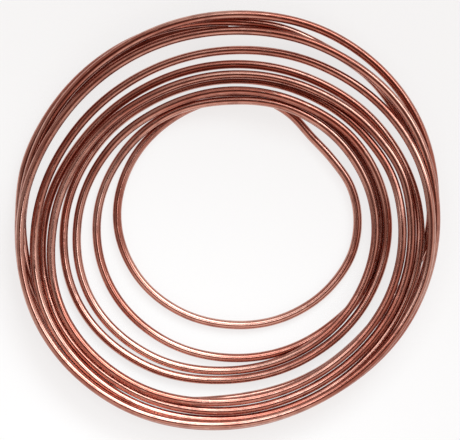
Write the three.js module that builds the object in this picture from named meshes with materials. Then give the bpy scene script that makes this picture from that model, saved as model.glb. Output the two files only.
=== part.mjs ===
// A loose coil of soft-drawn copper tube, lying flat: one length of round tube wound into eleven uneven
// turns that spread, bunch and cross over each other, with both cut ends tucked under the pile.
// Millimetres, +Z up, the coil's axis along Z. The tube runs clockwise, seen from above, as it goes outward.

import * as THREE from "three";

// The tube: 1/4 in outside, 0.030 in wall.
const TUBE_OUTSIDE = 6.35;
const TUBE_WALL = 0.762;
const OUTSIDE_FACETS = 10;
const BORE_FACETS = 6;

// Radius of the tube's centre line at each clock hour, one row for each turn, 12 o'clock (+Y) first.
const HOURS = 12;
const TURN_RADII = [
  [null, null, 87.7, 94.4, 90.2, 82.5, 77.0, 76.3, 78.6, 81.5, 82.6, 84.6],
  [89.4, 95.6, 105.0, 111.7, 111.3, 105.4, 101.3, 100.1, 99.4, 96.3, 91.4, 88.3],
  [86.7, 92.7, 100.4, 107.2, 109.6, 109.8, 110.6, 114.8, 116.4, 110.2, 101.4, 94.0],
  [93.8, 98.8, 109.3, 116.2, 117.1, 116.2, 117.2, 122.9, 125.8, 119.8, 110.2, 102.8],
  [102.2, 107.5, 117.6, 126.5, 129.8, 130.1, 132.9, 138.6, 138.6, 127.4, 115.0, 106.3],
  [105.7, 111.8, 124.1, 133.2, 136.5, 136.8, 139.6, 143.9, 144.5, 134.5, 121.0, 113.8],
  [113.4, 119.0, 129.9, 139.6, 142.3, 143.6, 146.0, 150.8, 150.0, 140.4, 129.5, 123.2],
  [123.6, 130.7, 141.3, 147.8, 148.2, 146.5, 149.5, 155.9, 157.5, 151.3, 142.6, 138.1],
  [137.7, 143.4, 150.4, 151.4, 150.0, 147.0, 150.6, 156.5, 157.8, 153.0, 151.8, 148.2],
  [144.5, 144.1, 145.6, 147.5, 132.0, 129.2, 131.2, 144.0, 149.3, 150.7, 148.9, 147.3],
  [149.2, 154.6, 156.1, 150.7, 147.6, 147.1, 150.2, 156.1, 156.2, 151.0, 146.4, 143.4],
];

// The tube's two ends, and bends too short for the hourly rows: [turn, hour, radius].
const ENDS_AND_SHORT_BENDS = [
  [0, 0.75, 90.8],
  [0, 1, 89.4],
  [0, 1.5, 85.6],
  [0, 2.5, 92.5],
  [0, 3.5, 93.7],
  [1, 4.5, 107.9],
  [2, 4.5, 109.9],
  [3, 4.5, 116.8],
  [4, 2.5, 123.4],
  [4, 3.5, 128.7],
  [5, 2.5, 130.7],
  [5, 3.5, 135.4],
  [7, 2.5, 145.6],
  [7, 3.5, 149.3],
  [8, 9.5, 153.7],
  [9, 0.5, 145.1],
  [9, 1.5, 146.2],
  [10, 3.5, 148.2],
  [11, 0, 142.4],
];

// The order in which stretches of the coil came to rest: [turn, hour, layer]. A stretch keeps its layer
// until the next entry, and where two stretches cross or crowd, the one with the higher layer lies on top.
const LAYERS = [
  [0, 0, 0],
  [1, 0, 1],
  [2, 0, 6],
  [3, 0, 7],
  [4, 0, 9],
  [5, 0, 11],
  [5, 2.5, 8],
  [6, 0, 5],
  [6, 7, 10],
  [7, 0, 12],
  [8, 0, 4],
  [8, 5, 2],
  [9, 0, 3],
  [10, 0, 11],
  [10, 1, 1],
];

// Laying the coil down: heights are found at evenly spaced clock positions, the same ones in every turn.
const SECTIONS_PER_TURN = 32;
const POSITIONS_PER_SECTION = 3;
const POSITIONS_PER_TURN = SECTIONS_PER_TURN * POSITIONS_PER_SECTION;
const LEAST_SPACING = TUBE_OUTSIDE + 0.45;
const SETTLE_PASSES = 400;
const SETTLE_STEP = 0.02;

function routeStations() {
  const stations = ENDS_AND_SHORT_BENDS.map(([turn, hour, radius]) => ({ at: turn + hour / HOURS, radius }));
  TURN_RADII.forEach((row, turn) => {
    row.forEach((radius, hour) => {
      if (radius !== null) stations.push({ at: turn + hour / HOURS, radius });
    });
  });
  return stations.sort((a, b) => a.at - b.at);
}

// Smooth radius at any point along the coil, counted in turns: a cubic through the stations.
function radiusAlong(stations, at) {
  const last = stations.length - 1;
  let i = 0;
  while (i < last - 1 && stations[i + 1].at <= at) i += 1;
  const slope = (k) => {
    const before = stations[Math.max(k - 1, 0)];
    const after = stations[Math.min(k + 1, last)];
    return (after.radius - before.radius) / (after.at - before.at);
  };
  const [start, end] = [stations[i], stations[i + 1]];
  const span = end.at - start.at;
  const t = (at - start.at) / span;
  return start.radius * (1 + 2 * t) * (1 - t) ** 2 + end.radius * t * t * (3 - 2 * t)
    + span * (slope(i) * t * (1 - t) ** 2 - slope(i + 1) * t * t * (1 - t));
}

function layerAlong(at) {
  let layer = 0;
  for (const [turn, hour, value] of LAYERS) {
    if (turn + hour / HOURS <= at + 1e-9) layer = value;
  }
  return layer;
}

// Each place where one stretch rests on another at the same clock position, lowest stretch first.
function findRests(radii, layers) {
  const rests = [];
  for (let upper = 0; upper < radii.length; upper += 1) {
    for (let lower = upper % POSITIONS_PER_TURN; lower < radii.length; lower += POSITIONS_PER_TURN) {
      const apart = Math.abs(radii[upper] - radii[lower]);
      if (apart < LEAST_SPACING && layers[lower] < layers[upper]) {
        rests.push({ upper, lower, rise: Math.sqrt(LEAST_SPACING ** 2 - apart ** 2) });
      }
    }
  }
  return rests.sort((a, b) => layers[a.upper] - layers[b.upper]);
}

// The stiff tube sags until the floor or another stretch holds it.
function settledHeights(radii, layers) {
  const floor = TUBE_OUTSIDE / 2;
  const rests = findRests(radii, layers);
  let heights = radii.map(() => floor);
  for (let pass = 0; pass < SETTLE_PASSES; pass += 1) {
    heights = heights.map((height, i) => {
      const before = heights[Math.max(i - 1, 0)];
      const after = heights[Math.min(i + 1, heights.length - 1)];
      return Math.max(floor, (before + height + after) / 3 - SETTLE_STEP);
    });
    for (const { upper, lower, rise } of rests) {
      heights[upper] = Math.max(heights[upper], heights[lower] + rise);
    }
  }
  return heights;
}

function coilPath() {
  const stations = routeStations();
  const first = Math.ceil(stations[0].at * SECTIONS_PER_TURN) * POSITIONS_PER_SECTION;
  const last = Math.floor(stations[stations.length - 1].at * SECTIONS_PER_TURN) * POSITIONS_PER_SECTION;
  const places = Array.from({ length: last - first + 1 }, (_, i) => (first + i) / POSITIONS_PER_TURN);
  const radii = places.map((at) => radiusAlong(stations, at));
  const heights = settledHeights(radii, places.map(layerAlong));
  const points = places.map((at, i) => {
    const angle = Math.PI / 2 - 2 * Math.PI * at;
    return new THREE.Vector3(radii[i] * Math.cos(angle), radii[i] * Math.sin(angle), heights[i]);
  });
  const path = new THREE.CatmullRomCurve3(points.filter((_, i) => i % POSITIONS_PER_SECTION === 0));
  path.getUtoTmapping = (u) => u;
  return path;
}

// A circle's facets, each touching the true circle from outside, with one level above and one below.
function facetedCircle(radius, facets) {
  const corner = radius / Math.cos(Math.PI / facets);
  return Array.from({ length: facets }, (_, i) => {
    const angle = (2 * Math.PI * (i + 0.5)) / facets;
    return new THREE.Vector2(corner * Math.cos(angle), corner * Math.sin(angle));
  });
}

function tubeSection() {
  const section = new THREE.Shape(facetedCircle(TUBE_OUTSIDE / 2, OUTSIDE_FACETS));
  section.holes.push(new THREE.Path(facetedCircle(TUBE_OUTSIDE / 2 - TUBE_WALL, BORE_FACETS)));
  return section;
}

function makeTube() {
  const path = coilPath();
  const geometry = new THREE.ExtrudeGeometry(tubeSection(), {
    steps: path.points.length - 1,
    extrudePath: path,
    bevelEnabled: false,
  });
  const copper = new THREE.MeshStandardMaterial({ color: 0xb0674a, roughness: 0.25, metalness: 1 });
  const tube = new THREE.Mesh(geometry, copper);
  tube.name = "tube";
  const box = new THREE.Box3().setFromObject(tube);
  const centre = box.getCenter(new THREE.Vector3());
  tube.position.set(-centre.x, -centre.y, -box.min.z);
  return tube;
}

const coil = new THREE.Group();
coil.add(makeTube());

export default coil;
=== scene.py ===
"""A loose coil of soft-drawn copper tube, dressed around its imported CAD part.

One length of bare tube lies flat on a pale studio floor, seen from straight above. The script repeats the
coil's route from the CAD part, sweeps a smooth round tube with its bore along it, and gives it drawn copper
that has been handled: faint lengthwise lines, patches of tarnish, smudges and small scuffs.

The coil's sizes and its route are in millimetres, as in the CAD part, and all that is made in Blender is in
metres.
"""

import math

import bpy
import numpy as np
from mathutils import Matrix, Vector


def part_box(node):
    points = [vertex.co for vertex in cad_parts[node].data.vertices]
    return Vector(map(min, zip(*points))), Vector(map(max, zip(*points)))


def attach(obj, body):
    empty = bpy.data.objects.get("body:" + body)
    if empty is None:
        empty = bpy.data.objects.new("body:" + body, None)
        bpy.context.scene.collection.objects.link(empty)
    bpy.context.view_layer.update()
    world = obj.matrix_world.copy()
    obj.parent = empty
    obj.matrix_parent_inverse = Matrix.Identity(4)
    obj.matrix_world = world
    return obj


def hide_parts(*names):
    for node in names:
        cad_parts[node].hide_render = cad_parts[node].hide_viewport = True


MILLIMETRE = 0.001

# ---------------------------------------------------------------- The coil (millimetres)

TUBE_OUTSIDE = 6.35
TUBE_WALL = 0.762

# Radius of the tube's centre line at each clock hour, one row for each turn, 12 o'clock (+Y) first. None is
# where the tube hasn't begun.
HOURS = 12
TURN_RADII = [
    [None, None, 87.7, 94.4, 90.2, 82.5, 77.0, 76.3, 78.6, 81.5, 82.6, 84.6],
    [89.4, 95.6, 105.0, 111.7, 111.3, 105.4, 101.3, 100.1, 99.4, 96.3, 91.4, 88.3],
    [86.7, 92.7, 100.4, 107.2, 109.6, 109.8, 110.6, 114.8, 116.4, 110.2, 101.4, 94.0],
    [93.8, 98.8, 109.3, 116.2, 117.1, 116.2, 117.2, 122.9, 125.8, 119.8, 110.2, 102.8],
    [102.2, 107.5, 117.6, 126.5, 129.8, 130.1, 132.9, 138.6, 138.6, 127.4, 115.0, 106.3],
    [105.7, 111.8, 124.1, 133.2, 136.5, 136.8, 139.6, 143.9, 144.5, 134.5, 121.0, 113.8],
    [113.4, 119.0, 129.9, 139.6, 142.3, 143.6, 146.0, 150.8, 150.0, 140.4, 129.5, 123.2],
    [123.6, 130.7, 141.3, 147.8, 148.2, 146.5, 149.5, 155.9, 157.5, 151.3, 142.6, 138.1],
    [137.7, 143.4, 150.4, 151.4, 150.0, 147.0, 150.6, 156.5, 157.8, 153.0, 151.8, 148.2],
    [144.5, 144.1, 145.6, 147.5, 132.0, 129.2, 131.2, 144.0, 149.3, 150.7, 148.9, 147.3],
    [149.2, 154.6, 156.1, 150.7, 147.6, 147.1, 150.2, 156.1, 156.2, 151.0, 146.4, 143.4],
]

# The tube's two ends, and bends too short for the hourly rows: (turn, hour, radius).
ENDS_AND_SHORT_BENDS = [
    (0, 0.75, 90.8),
    (0, 1, 89.4),
    (0, 1.5, 85.6),
    (0, 2.5, 92.5),
    (0, 3.5, 93.7),
    (1, 4.5, 107.9),
    (2, 4.5, 109.9),
    (3, 4.5, 116.8),
    (4, 2.5, 123.4),
    (4, 3.5, 128.7),
    (5, 2.5, 130.7),
    (5, 3.5, 135.4),
    (7, 2.5, 145.6),
    (7, 3.5, 149.3),
    (8, 9.5, 153.7),
    (9, 0.5, 145.1),
    (9, 1.5, 146.2),
    (10, 3.5, 148.2),
    (11, 0, 142.4),
]

# The order in which stretches of the coil came to rest: (turn, hour, layer). A stretch keeps its layer
# until the next entry, and where two stretches cross or crowd, the one with the higher layer lies on top.
LAYERS = [
    (0, 0, 0),
    (1, 0, 1),
    (2, 0, 6),
    (3, 0, 7),
    (4, 0, 9),
    (5, 0, 11),
    (5, 2.5, 8),
    (6, 0, 5),
    (6, 7, 10),
    (7, 0, 12),
    (8, 0, 4),
    (8, 5, 2),
    (9, 0, 3),
    (10, 0, 11),
    (10, 1, 1),
]

# How far past a layer's start, in turns, a place can be and still count as on it.
LAYER_START_ROOM = 1e-9

# Laying the coil down: heights are found at evenly spaced clock positions, the same ones in every turn. In
# each pass every position sinks by the settling step, and what is under it pushes it back up.
SECTIONS_PER_TURN = 32
POSITIONS_PER_SECTION = 3
POSITIONS_PER_TURN = SECTIONS_PER_TURN * POSITIONS_PER_SECTION
LEAST_SPACING = TUBE_OUTSIDE + 0.45
SETTLE_PASSES = 400
SETTLE_STEP = 0.02

# The dressed tube's mesh: each gap between positions is split in two, each side of the bore meets two sides
# of the outside, and the cut ends have their sharp outer edge taken off.
BORE_SIDES = 14
OUTER_SIDES = 2 * BORE_SIDES
CUT_EDGE = 0.25
SHARP_ANGLE_DEGREES = 40
SURFACE_PLACES = "surface_places"

# ---------------------------------------------------------------- The copper (metres)

COPPER_CLEAN = (0.61, 0.33, 0.265, 1.0)
COPPER_TARNISHED = (0.41, 0.14, 0.10, 1.0)
COPPER_BROWN = (0.27, 0.105, 0.08, 1.0)
COPPER_SCUFFED = (0.80, 0.50, 0.40, 1.0)

# Marks are noise cut between two levels: the lower the levels, the more of the surface is marked. A scale
# counts features in a metre: the same in every direction, or along the tube and then round it.
TARNISH = {"scale": (9.0, 70.0, 0.0), "levels": (0.38, 0.62), "detail": 3.0, "distortion": 0.6}
SMUDGES = {"scale": (110.0, 110.0, 110.0), "levels": (0.46, 0.70), "detail": 4.0}
DRAWN_LINES = {"scale": (40.0, 4000.0, 0.0), "levels": (0.30, 0.70), "detail": 2.0}
SCUFFS = {"scale": (110.0, 1300.0, 0.0), "levels": (0.62, 0.70), "detail": 3.0}
WAVES = {"scale": (60.0, 60.0, 60.0), "levels": (0.20, 0.80), "detail": 1.0}

SMUDGE_BROWNING = 0.45
SCUFF_PALENESS = 0.8
ROUGHNESS_CLEAN = 0.14
ROUGHER_BY = {"smudges": 0.08, "drawn_lines": 0.05, "scuffs": 0.16}
WAVE_DEPTH = 0.015 * MILLIMETRE
LINE_DEPTH = 0.0006 * MILLIMETRE

# ---------------------------------------------------------------- The studio (metres)

# The camera looks straight down on its aim, and a pixel of the picture is PIXEL wide there.
IMAGE_WIDTH_PIXELS = 460
PIXEL = 0.73 * MILLIMETRE
CAMERA_DISTANCE = 4.0
CAMERA_AIM = (0.0019, 0.0003, 0.012)
SENSOR_WIDTH = 36.0

# The floor lies a hair under the tube, so that they never share a surface. Where it is seen or mirrored,
# its background share is plain white, and the rest is the light and the shadow on it.
FLOOR_SIZE = 6.0
FLOOR_HEIGHT = -0.05 * MILLIMETRE
FLOOR_COLOUR = (0.93, 0.93, 0.93, 1.0)
FLOOR_ROUGHNESS = 0.9
FLOOR_GLOSS = 0.0
BACKGROUND_SHARE = 0.75

# The colour of the surroundings at each tilt from straight up, and how bright they are towards each azimuth
# from +X, in degrees: dark and warm overhead, and bright all round the sides, least of all to the left.
SURROUNDINGS_BY_TILT = [
    (12, (0.12, 0.05, 0.04)),
    (22, (0.28, 0.13, 0.10)),
    (37, (0.83, 0.57, 0.50)),
    (52, (1.08, 1.05, 1.02)),
    (67, (0.94, 0.77, 0.72)),
    (82, (0.50, 0.50, 0.50)),
]
SURROUNDINGS_BY_AZIMUTH = [
    (0, 0.85),
    (45, 0.90),
    (90, 0.80),
    (135, 0.50),
    (180, 0.40),
    (230, 1.00),
    (280, 1.05),
    (330, 0.80),
    (360, 0.85),
]

# A window at the far right of the surroundings: how open it is at each tilt and each azimuth, from 0 to 1.
WINDOW_BY_TILT = [(44, 0.0), (50, 1.0), (58, 1.0), (64, 0.0)]
WINDOW_BY_AZIMUTH = [(18, 0.0), (36, 1.0), (65, 1.0), (85, 0.0)]
WINDOW_COLOUR = (0.80, 1.0, 1.06, 1.0)
WINDOW_RADIANCE = 5.0

# Each lamp hangs at its azimuth from the middle of the coil, as far out as its reach, and is tilted from
# straight down to shine back across the coil; its angles are in degrees. Their spread is narrow, so that the
# keys light the lower left of the picture, and the fill its lower right. Lamps and window are a little cooler
# than the surroundings, so that the highlights are cream.
LAMP_HEIGHT = 0.5
LAMP_DEPTH = 0.15
LAMP_SPREAD = 68
LAMP_COLOUR = (0.90, 1.0, 1.04)
LAMPS = [
    {"name": "key_near", "azimuth": 68, "reach": -0.05, "tilt": 25, "width": 0.16, "radiance": 1.1},
    {"name": "key_middle", "azimuth": 68, "reach": 0.25, "tilt": 52, "width": 0.44, "radiance": 1.2},
    {"name": "key_far", "azimuth": 68, "reach": 0.42, "tilt": 60, "width": 0.72, "radiance": 0.9},
    {"name": "fill", "azimuth": 130, "reach": 0.25, "tilt": 52, "width": 0.44, "radiance": 0.55},
]


def make_camera():
    """Straight down from far off, so that the coil's height hardly shows as perspective."""
    data = bpy.data.cameras.new("camera")
    data.sensor_fit = "HORIZONTAL"
    data.sensor_width = SENSOR_WIDTH
    data.lens = SENSOR_WIDTH * CAMERA_DISTANCE / (IMAGE_WIDTH_PIXELS * PIXEL)
    data.clip_end = 2 * CAMERA_DISTANCE
    camera = bpy.data.objects.new("camera", data)
    aim_x, aim_y, aim_z = CAMERA_AIM
    camera.location = (aim_x, aim_y, aim_z + CAMERA_DISTANCE)
    bpy.context.collection.objects.link(camera)
    bpy.context.scene.camera = camera


# ---------------------------------------------------------------- The route


def route_stations():
    """The places that the tables give a radius for, in order and counted in turns, and those radii."""
    stations = [(turn + hour / HOURS, radius) for turn, hour, radius in ENDS_AND_SHORT_BENDS]
    for turn, row in enumerate(TURN_RADII):
        stations += [(turn + hour / HOURS, radius) for hour, radius in enumerate(row) if radius is not None]
    return np.array(sorted(stations)).T


def radius_along(station_places, station_radii, places):
    """Smooth radius at each place: a cubic through the stations."""
    last = len(station_places) - 1
    before = np.maximum(np.arange(last + 1) - 1, 0)
    after = np.minimum(np.arange(last + 1) + 1, last)
    rises = station_radii[after] - station_radii[before]
    slopes = rises / (station_places[after] - station_places[before])
    i = np.clip(np.searchsorted(station_places, places, side="right") - 1, 0, last - 1)
    span = station_places[i + 1] - station_places[i]
    t = (places - station_places[i]) / span
    by_radius = station_radii[i] * (1 + 2 * t) * (1 - t) ** 2 + station_radii[i + 1] * t * t * (3 - 2 * t)
    by_slope = slopes[i] * t * (1 - t) ** 2 - slopes[i + 1] * t * t * (1 - t)
    return by_radius + span * by_slope


def layers_along(places):
    """The layer of the stretch that each place is on."""
    starts = np.array([turn + hour / HOURS for turn, hour, _ in LAYERS])
    layers = np.array([layer for _, _, layer in LAYERS])
    return layers[np.searchsorted(starts, places + LAYER_START_ROOM, side="right") - 1]


def find_rests(radii, layers):
    """Each (upper, lower, rise) where one stretch rests on another at the same clock position."""
    rests = []
    for upper in range(len(radii)):
        for lower in range(upper % POSITIONS_PER_TURN, len(radii), POSITIONS_PER_TURN):
            apart = abs(radii[upper] - radii[lower])
            if apart < LEAST_SPACING and layers[lower] < layers[upper]:
                rests.append((upper, lower, math.sqrt(LEAST_SPACING**2 - apart**2)))
    return sorted(rests, key=lambda rest: layers[rest[0]])


def settled_heights(radii, layers):
    """The stiff tube sags until the floor or another stretch holds it."""
    floor = TUBE_OUTSIDE / 2
    rests = find_rests(radii, layers)
    heights = np.full(len(radii), floor)
    for _ in range(SETTLE_PASSES):
        padded = np.pad(heights, 1, mode="edge")
        heights = np.maximum(floor, (padded[:-2] + heights + padded[2:]) / 3 - SETTLE_STEP)
        for upper, lower, rise in rests:
            heights[upper] = max(heights[upper], heights[lower] + rise)
    return heights


def coil_route():
    """Points along the tube's centre line, in millimetres about the table's own centre."""
    station_places, station_radii = route_stations()
    first = math.ceil(station_places[0] * SECTIONS_PER_TURN) * POSITIONS_PER_SECTION
    last = math.floor(station_places[-1] * SECTIONS_PER_TURN) * POSITIONS_PER_SECTION
    places = np.arange(first, last + 1) / POSITIONS_PER_TURN
    radii = radius_along(station_places, station_radii, places)
    heights = settled_heights(radii, layers_along(places))
    angles = math.pi / 2 - 2 * math.pi * places
    return np.stack([radii * np.cos(angles), radii * np.sin(angles), heights], axis=1)


def halved(points):
    """The same smooth line with a point added in each gap, on the cubic through the four nearest points."""
    before = 2 * points[0] - points[1]
    after = 2 * points[-1] - points[-2]
    line = np.vstack([before, points, after])
    middles = (9 * (line[1:-2] + line[2:-1]) - line[:-3] - line[3:]) / 16
    result = np.empty((2 * len(points) - 1, 3))
    result[0::2] = points
    result[1::2] = middles
    return result


def placed_in_frame(points, box):
    """Metres, with the middle of the route over the middle of the CAD tube's box."""
    points = points * MILLIMETRE
    low, high = np.array(box[0]), np.array(box[1])
    points[:, :2] += ((low + high) / 2)[:2] - ((points.min(axis=0) + points.max(axis=0)) / 2)[:2]
    return points


# ---------------------------------------------------------------- The tube


def unit(vectors):
    """The same directions with a length of 1."""
    return vectors / np.linalg.norm(vectors, axis=-1, keepdims=True)


def ring_grid(points, tangents, radii, sides):
    """Rings of points about the centre line, each starting underneath, where its seam is hidden."""
    across = unit(np.cross(tangents, [0.0, 0.0, 1.0]))
    upward = np.cross(across, tangents)
    angles = (-math.pi / 2 + 2 * math.pi * np.arange(sides) / sides)[None, :, None]
    spokes = np.cos(angles) * across[:, None] + np.sin(angles) * upward[:, None]
    return points[:, None] + radii[:, None, None] * spokes


def tube_rings(route):
    """The rings of the outside, which has one more at each end for the cut edge, and those of the bore."""
    tangents = unit(np.gradient(route, axis=0))
    radius = TUBE_OUTSIDE / 2 * MILLIMETRE
    bore_radius = radius - TUBE_WALL * MILLIMETRE
    cut_edge = CUT_EDGE * MILLIMETRE

    eased = np.vstack([route[0], route, route[-1]])
    eased_tangents = np.vstack([tangents[0], tangents, tangents[-1]])
    eased[1] += tangents[0] * cut_edge
    eased[-2] -= tangents[-1] * cut_edge
    radii = np.full(len(eased), radius)
    radii[[0, -1]] = radius - cut_edge
    outside = ring_grid(eased, eased_tangents, radii, OUTER_SIDES)
    bore = ring_grid(route, tangents, np.full(len(route), bore_radius), BORE_SIDES)
    return outside, bore


def wall_faces(rings, sides, first_vertex, inward):
    """Quads between neighbouring rings, and for each corner its (ring, side) with the seam side uncut."""
    ring, side = np.meshgrid(np.arange(rings - 1), np.arange(sides), indexing="ij")
    corners = [(ring, side), (ring, side + 1), (ring + 1, side + 1), (ring + 1, side)]
    if inward:
        corners = corners[::-1]
    grid = np.array([[r.ravel(), s.ravel()] for r, s in corners]).transpose(2, 0, 1)
    vertices = first_vertex + grid[:, :, 0] * sides + grid[:, :, 1] % sides
    return vertices, grid


def cut_faces(outer_first, bore_first, reverse):
    """The flat ring of a cut end, one face for each side of the bore."""
    faces = []
    for k in range(BORE_SIDES):
        outer = [outer_first + (2 * k + step) % OUTER_SIDES for step in range(3)]
        bore = [bore_first + (k + 1) % BORE_SIDES, bore_first + k]
        face = outer + bore
        faces.append(face[::-1] if reverse else face)
    return faces


def surface_places(grid, along, sides):
    """Where each corner of a wall's faces lies, in metres: along the tube, and round it from underneath."""
    girth = math.pi * TUBE_OUTSIDE * MILLIMETRE
    return np.stack([along[grid[:, :, 0]], grid[:, :, 1] * girth / sides], axis=-1).reshape(-1, 2)


def make_tube(route):
    """The whole tube as one closed mesh: outside, bore and two cut ends."""
    outside, bore = tube_rings(route)
    bore_first = len(outside) * OUTER_SIDES
    last_outer = (len(outside) - 1) * OUTER_SIDES
    last_bore = bore_first + (len(bore) - 1) * BORE_SIDES
    outer_faces, outer_grid = wall_faces(len(outside), OUTER_SIDES, 0, inward=False)
    bore_faces, bore_grid = wall_faces(len(bore), BORE_SIDES, bore_first, inward=True)
    ends = cut_faces(0, bore_first, reverse=True) + cut_faces(last_outer, last_bore, reverse=False)

    mesh = bpy.data.meshes.new("copper_tube")
    vertices = np.vstack([outside.reshape(-1, 3), bore.reshape(-1, 3)])
    mesh.from_pydata(vertices.tolist(), [], outer_faces.tolist() + bore_faces.tolist() + ends)

    steps = np.linalg.norm(np.diff(route, axis=0), axis=1)
    along = np.concatenate([[0.0], np.cumsum(steps)])
    eased_along = np.concatenate([[along[0]], along, [along[-1]]])
    places = [
        surface_places(outer_grid, eased_along, OUTER_SIDES),
        surface_places(bore_grid, along, BORE_SIDES),
        np.zeros((sum(len(face) for face in ends), 2)),
    ]
    mesh.uv_layers.new(name=SURFACE_PLACES).data.foreach_set("uv", np.vstack(places).ravel())

    mesh.shade_smooth()
    mesh.set_sharp_from_angle(angle=math.radians(SHARP_ANGLE_DEGREES))
    mesh.validate()
    tube = bpy.data.objects.new("copper_tube", mesh)
    bpy.context.collection.objects.link(tube)
    return tube


# ---------------------------------------------------------------- Drawn, handled copper


def add_node(tree, kind, inputs=None, **settings):
    """A shader node with its settings, and each named input given a value or a link."""
    node = tree.nodes.new(kind)
    for name, value in settings.items():
        setattr(node, name, value)
    for name, value in (inputs or {}).items():
        if isinstance(value, bpy.types.NodeSocket):
            tree.links.new(value, node.inputs[name])
        else:
            node.inputs[name].default_value = value
    return node


def marks(tree, places, scale, levels, detail, distortion=0.0):
    """Soft-edged patches of noise: 0 where the surface is clean, 1 where it is marked."""
    spread = add_node(tree, "ShaderNodeVectorMath", {0: places, 1: scale}, operation="MULTIPLY")
    inputs = {
        "Vector": spread.outputs["Vector"],
        "Scale": 1.0,
        "Detail": detail,
        "Distortion": distortion,
    }
    noise = add_node(tree, "ShaderNodeTexNoise", inputs)
    inputs = {"Value": noise.outputs["Fac"], "From Min": levels[0], "From Max": levels[1]}
    cut = add_node(tree, "ShaderNodeMapRange", inputs, interpolation_type="SMOOTHSTEP")
    return cut.outputs["Result"]


def blended(tree, factor, first, second):
    """A colour between two, each a colour or another node's output."""
    node = add_node(tree, "ShaderNodeMix", data_type="RGBA")
    for name, value in (("Factor_Float", factor), ("A_Color", first), ("B_Color", second)):
        socket = next(s for s in node.inputs if s.identifier == name)
        if isinstance(value, bpy.types.NodeSocket):
            tree.links.new(value, socket)
        else:
            socket.default_value = value
    return next(s for s in node.outputs if s.identifier == "Result_Color")


def combined(tree, operation, *values):
    """A number made from others, each a number or another node's output."""
    inputs = dict(enumerate(values))
    return add_node(tree, "ShaderNodeMath", inputs, operation=operation).outputs["Value"]


def make_copper():
    """Drawn copper: a bright, smooth skin that has tarnished in patches and been handled and scuffed."""
    material = bpy.data.materials.new("drawn_copper")
    material.use_nodes = True
    tree = material.node_tree
    shader = tree.nodes["Principled BSDF"]
    space = add_node(tree, "ShaderNodeTexCoord").outputs["Object"]
    surface = add_node(tree, "ShaderNodeUVMap", uv_map=SURFACE_PLACES).outputs["UV"]
    tarnish = marks(tree, surface, **TARNISH)
    smudges = marks(tree, space, **SMUDGES)
    lines = marks(tree, surface, **DRAWN_LINES)
    scuffs = marks(tree, surface, **SCUFFS)
    waves = marks(tree, space, **WAVES)

    colour = blended(tree, tarnish, COPPER_CLEAN, COPPER_TARNISHED)
    colour = blended(tree, combined(tree, "MULTIPLY", smudges, SMUDGE_BROWNING), colour, COPPER_BROWN)
    colour = blended(tree, combined(tree, "MULTIPLY", scuffs, SCUFF_PALENESS), colour, COPPER_SCUFFED)
    tree.links.new(colour, shader.inputs["Base Color"])
    shader.inputs["Metallic"].default_value = 1.0

    roughness = combined(tree, "MULTIPLY_ADD", smudges, ROUGHER_BY["smudges"], ROUGHNESS_CLEAN)
    roughness = combined(tree, "MULTIPLY_ADD", lines, ROUGHER_BY["drawn_lines"], roughness)
    roughness = combined(tree, "MULTIPLY_ADD", scuffs, ROUGHER_BY["scuffs"], roughness)
    tree.links.new(roughness, shader.inputs["Roughness"])

    wavy = add_node(tree, "ShaderNodeBump", {"Height": waves, "Distance": WAVE_DEPTH}).outputs["Normal"]
    inputs = {"Height": lines, "Distance": LINE_DEPTH, "Normal": wavy}
    lined = add_node(tree, "ShaderNodeBump", inputs).outputs["Normal"]
    tree.links.new(lined, shader.inputs["Normal"])
    return material


# ---------------------------------------------------------------- The studio


def make_pale_floor():
    """A pale surface that shows partly by the light on it and partly as a plain white background."""
    material = bpy.data.materials.new("pale_floor")
    material.use_nodes = True
    tree = material.node_tree
    shader = tree.nodes["Principled BSDF"]
    shader.inputs["Base Color"].default_value = FLOOR_COLOUR
    shader.inputs["Roughness"].default_value = FLOOR_ROUGHNESS
    shader.inputs["Specular IOR Level"].default_value = FLOOR_GLOSS
    path = add_node(tree, "ShaderNodeLightPath")
    seen = combined(tree, "MAXIMUM", path.outputs["Is Camera Ray"], path.outputs["Is Glossy Ray"])
    seen = combined(tree, "MAXIMUM", seen, path.outputs["Is Transmission Ray"])
    share = combined(tree, "MULTIPLY", seen, BACKGROUND_SHARE)
    white = add_node(tree, "ShaderNodeEmission", {"Strength": 1.0}).outputs["Emission"]
    mixed = add_node(tree, "ShaderNodeMixShader", {0: share, 1: shader.outputs["BSDF"], 2: white})
    tree.links.new(mixed.outputs["Shader"], tree.nodes["Material Output"].inputs["Surface"])
    return material


def make_floor():
    """A flat square far wider than the picture."""
    mesh = bpy.data.meshes.new("studio_floor")
    far = FLOOR_SIZE / 2
    corners = [(x, y, FLOOR_HEIGHT) for x, y in ((-far, -far), (far, -far), (far, far), (-far, far))]
    mesh.from_pydata(corners, [], [(0, 1, 2, 3)])
    floor = bpy.data.objects.new("studio_floor", mesh)
    bpy.context.collection.objects.link(floor)
    mesh.materials.append(make_pale_floor())


def make_lamp(name, azimuth, reach, tilt, width, radiance):
    """A flat soft lamp, which gives off its radiance times pi from each square metre."""
    data = bpy.data.lights.new(name, "AREA")
    data.shape = "RECTANGLE"
    data.size = LAMP_DEPTH
    data.size_y = width
    data.energy = radiance * math.pi * LAMP_DEPTH * width
    data.color = LAMP_COLOUR
    data.spread = math.radians(LAMP_SPREAD)
    lamp = bpy.data.objects.new(name, data)
    towards = math.radians(azimuth)
    lamp.location = (reach * math.cos(towards), reach * math.sin(towards), LAMP_HEIGHT)
    lamp.rotation_euler = (0.0, math.radians(tilt), towards)
    bpy.context.collection.objects.link(lamp)


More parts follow.
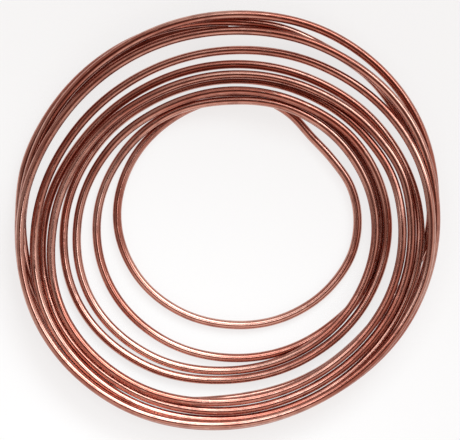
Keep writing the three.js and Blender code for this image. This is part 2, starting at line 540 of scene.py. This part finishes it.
def ramp(tree, value, stops):
    """A shade that changes evenly from stop to stop as the value goes from 0 to 1.

    Each stop is a (value, shade), and a shade is a colour or one level for red, green and blue.
    """
    node = add_node(tree, "ShaderNodeValToRGB", {"Fac": value})
    elements = node.color_ramp.elements
    while len(elements) < len(stops):
        elements.new(1.0)
    for element, (position, shade) in zip(elements, sorted(stops)):
        element.position = position
        element.color = (*np.broadcast_to(shade, 3).tolist(), 1.0)
    return node.outputs["Color"]


def make_world():
    """What the tube mirrors: surroundings that change with tilt and azimuth, and a bright window."""
    world = bpy.data.worlds.new("studio")
    world.use_nodes = True
    tree = world.node_tree
    direction = add_node(tree, "ShaderNodeTexCoord").outputs["Generated"]
    part = add_node(tree, "ShaderNodeSeparateXYZ", {"Vector": direction}).outputs
    turns = combined(tree, "DIVIDE", combined(tree, "ARCTAN2", part["Y"], part["X"]), 2 * math.pi)
    turn = combined(tree, "FRACT", turns)

    def by_tilt(stops):
        return ramp(tree, part["Z"], [(math.cos(math.radians(tilt)), shade) for tilt, shade in stops])

    def by_azimuth(stops):
        return ramp(tree, turn, [(azimuth / 360, shade) for azimuth, shade in stops])

    surroundings = tree.nodes["Background"]
    tree.links.new(by_tilt(SURROUNDINGS_BY_TILT), surroundings.inputs["Color"])
    tree.links.new(by_azimuth(SURROUNDINGS_BY_AZIMUTH), surroundings.inputs["Strength"])
    opening = combined(tree, "MULTIPLY", by_tilt(WINDOW_BY_TILT), by_azimuth(WINDOW_BY_AZIMUTH))
    inputs = {"Color": WINDOW_COLOUR, "Strength": combined(tree, "MULTIPLY", opening, WINDOW_RADIANCE)}
    window = add_node(tree, "ShaderNodeBackground", inputs)
    inputs = {0: surroundings.outputs["Background"], 1: window.outputs["Background"]}
    both = add_node(tree, "ShaderNodeAddShader", inputs)
    tree.links.new(both.outputs["Shader"], tree.nodes["World Output"].inputs["Surface"])
    bpy.context.scene.world = world


def make_studio():
    """The floor, the lamps and the surroundings, none of which belongs to the coil."""
    make_floor()
    for lamp in LAMPS:
        make_lamp(**lamp)
    make_world()
    bpy.context.scene.view_settings.view_transform = "Standard"


# ---------------------------------------------------------------- The scene

make_camera()
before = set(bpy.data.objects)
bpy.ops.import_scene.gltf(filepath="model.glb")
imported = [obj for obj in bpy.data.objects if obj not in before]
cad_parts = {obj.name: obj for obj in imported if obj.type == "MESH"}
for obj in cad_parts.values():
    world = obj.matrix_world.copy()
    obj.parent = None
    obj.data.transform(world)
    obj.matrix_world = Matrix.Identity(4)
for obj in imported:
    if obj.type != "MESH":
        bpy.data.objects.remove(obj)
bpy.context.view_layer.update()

tube = make_tube(halved(placed_in_frame(coil_route(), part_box("tube"))))
tube.data.materials.append(make_copper())
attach(tube, "root")
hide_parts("tube")

make_studio()
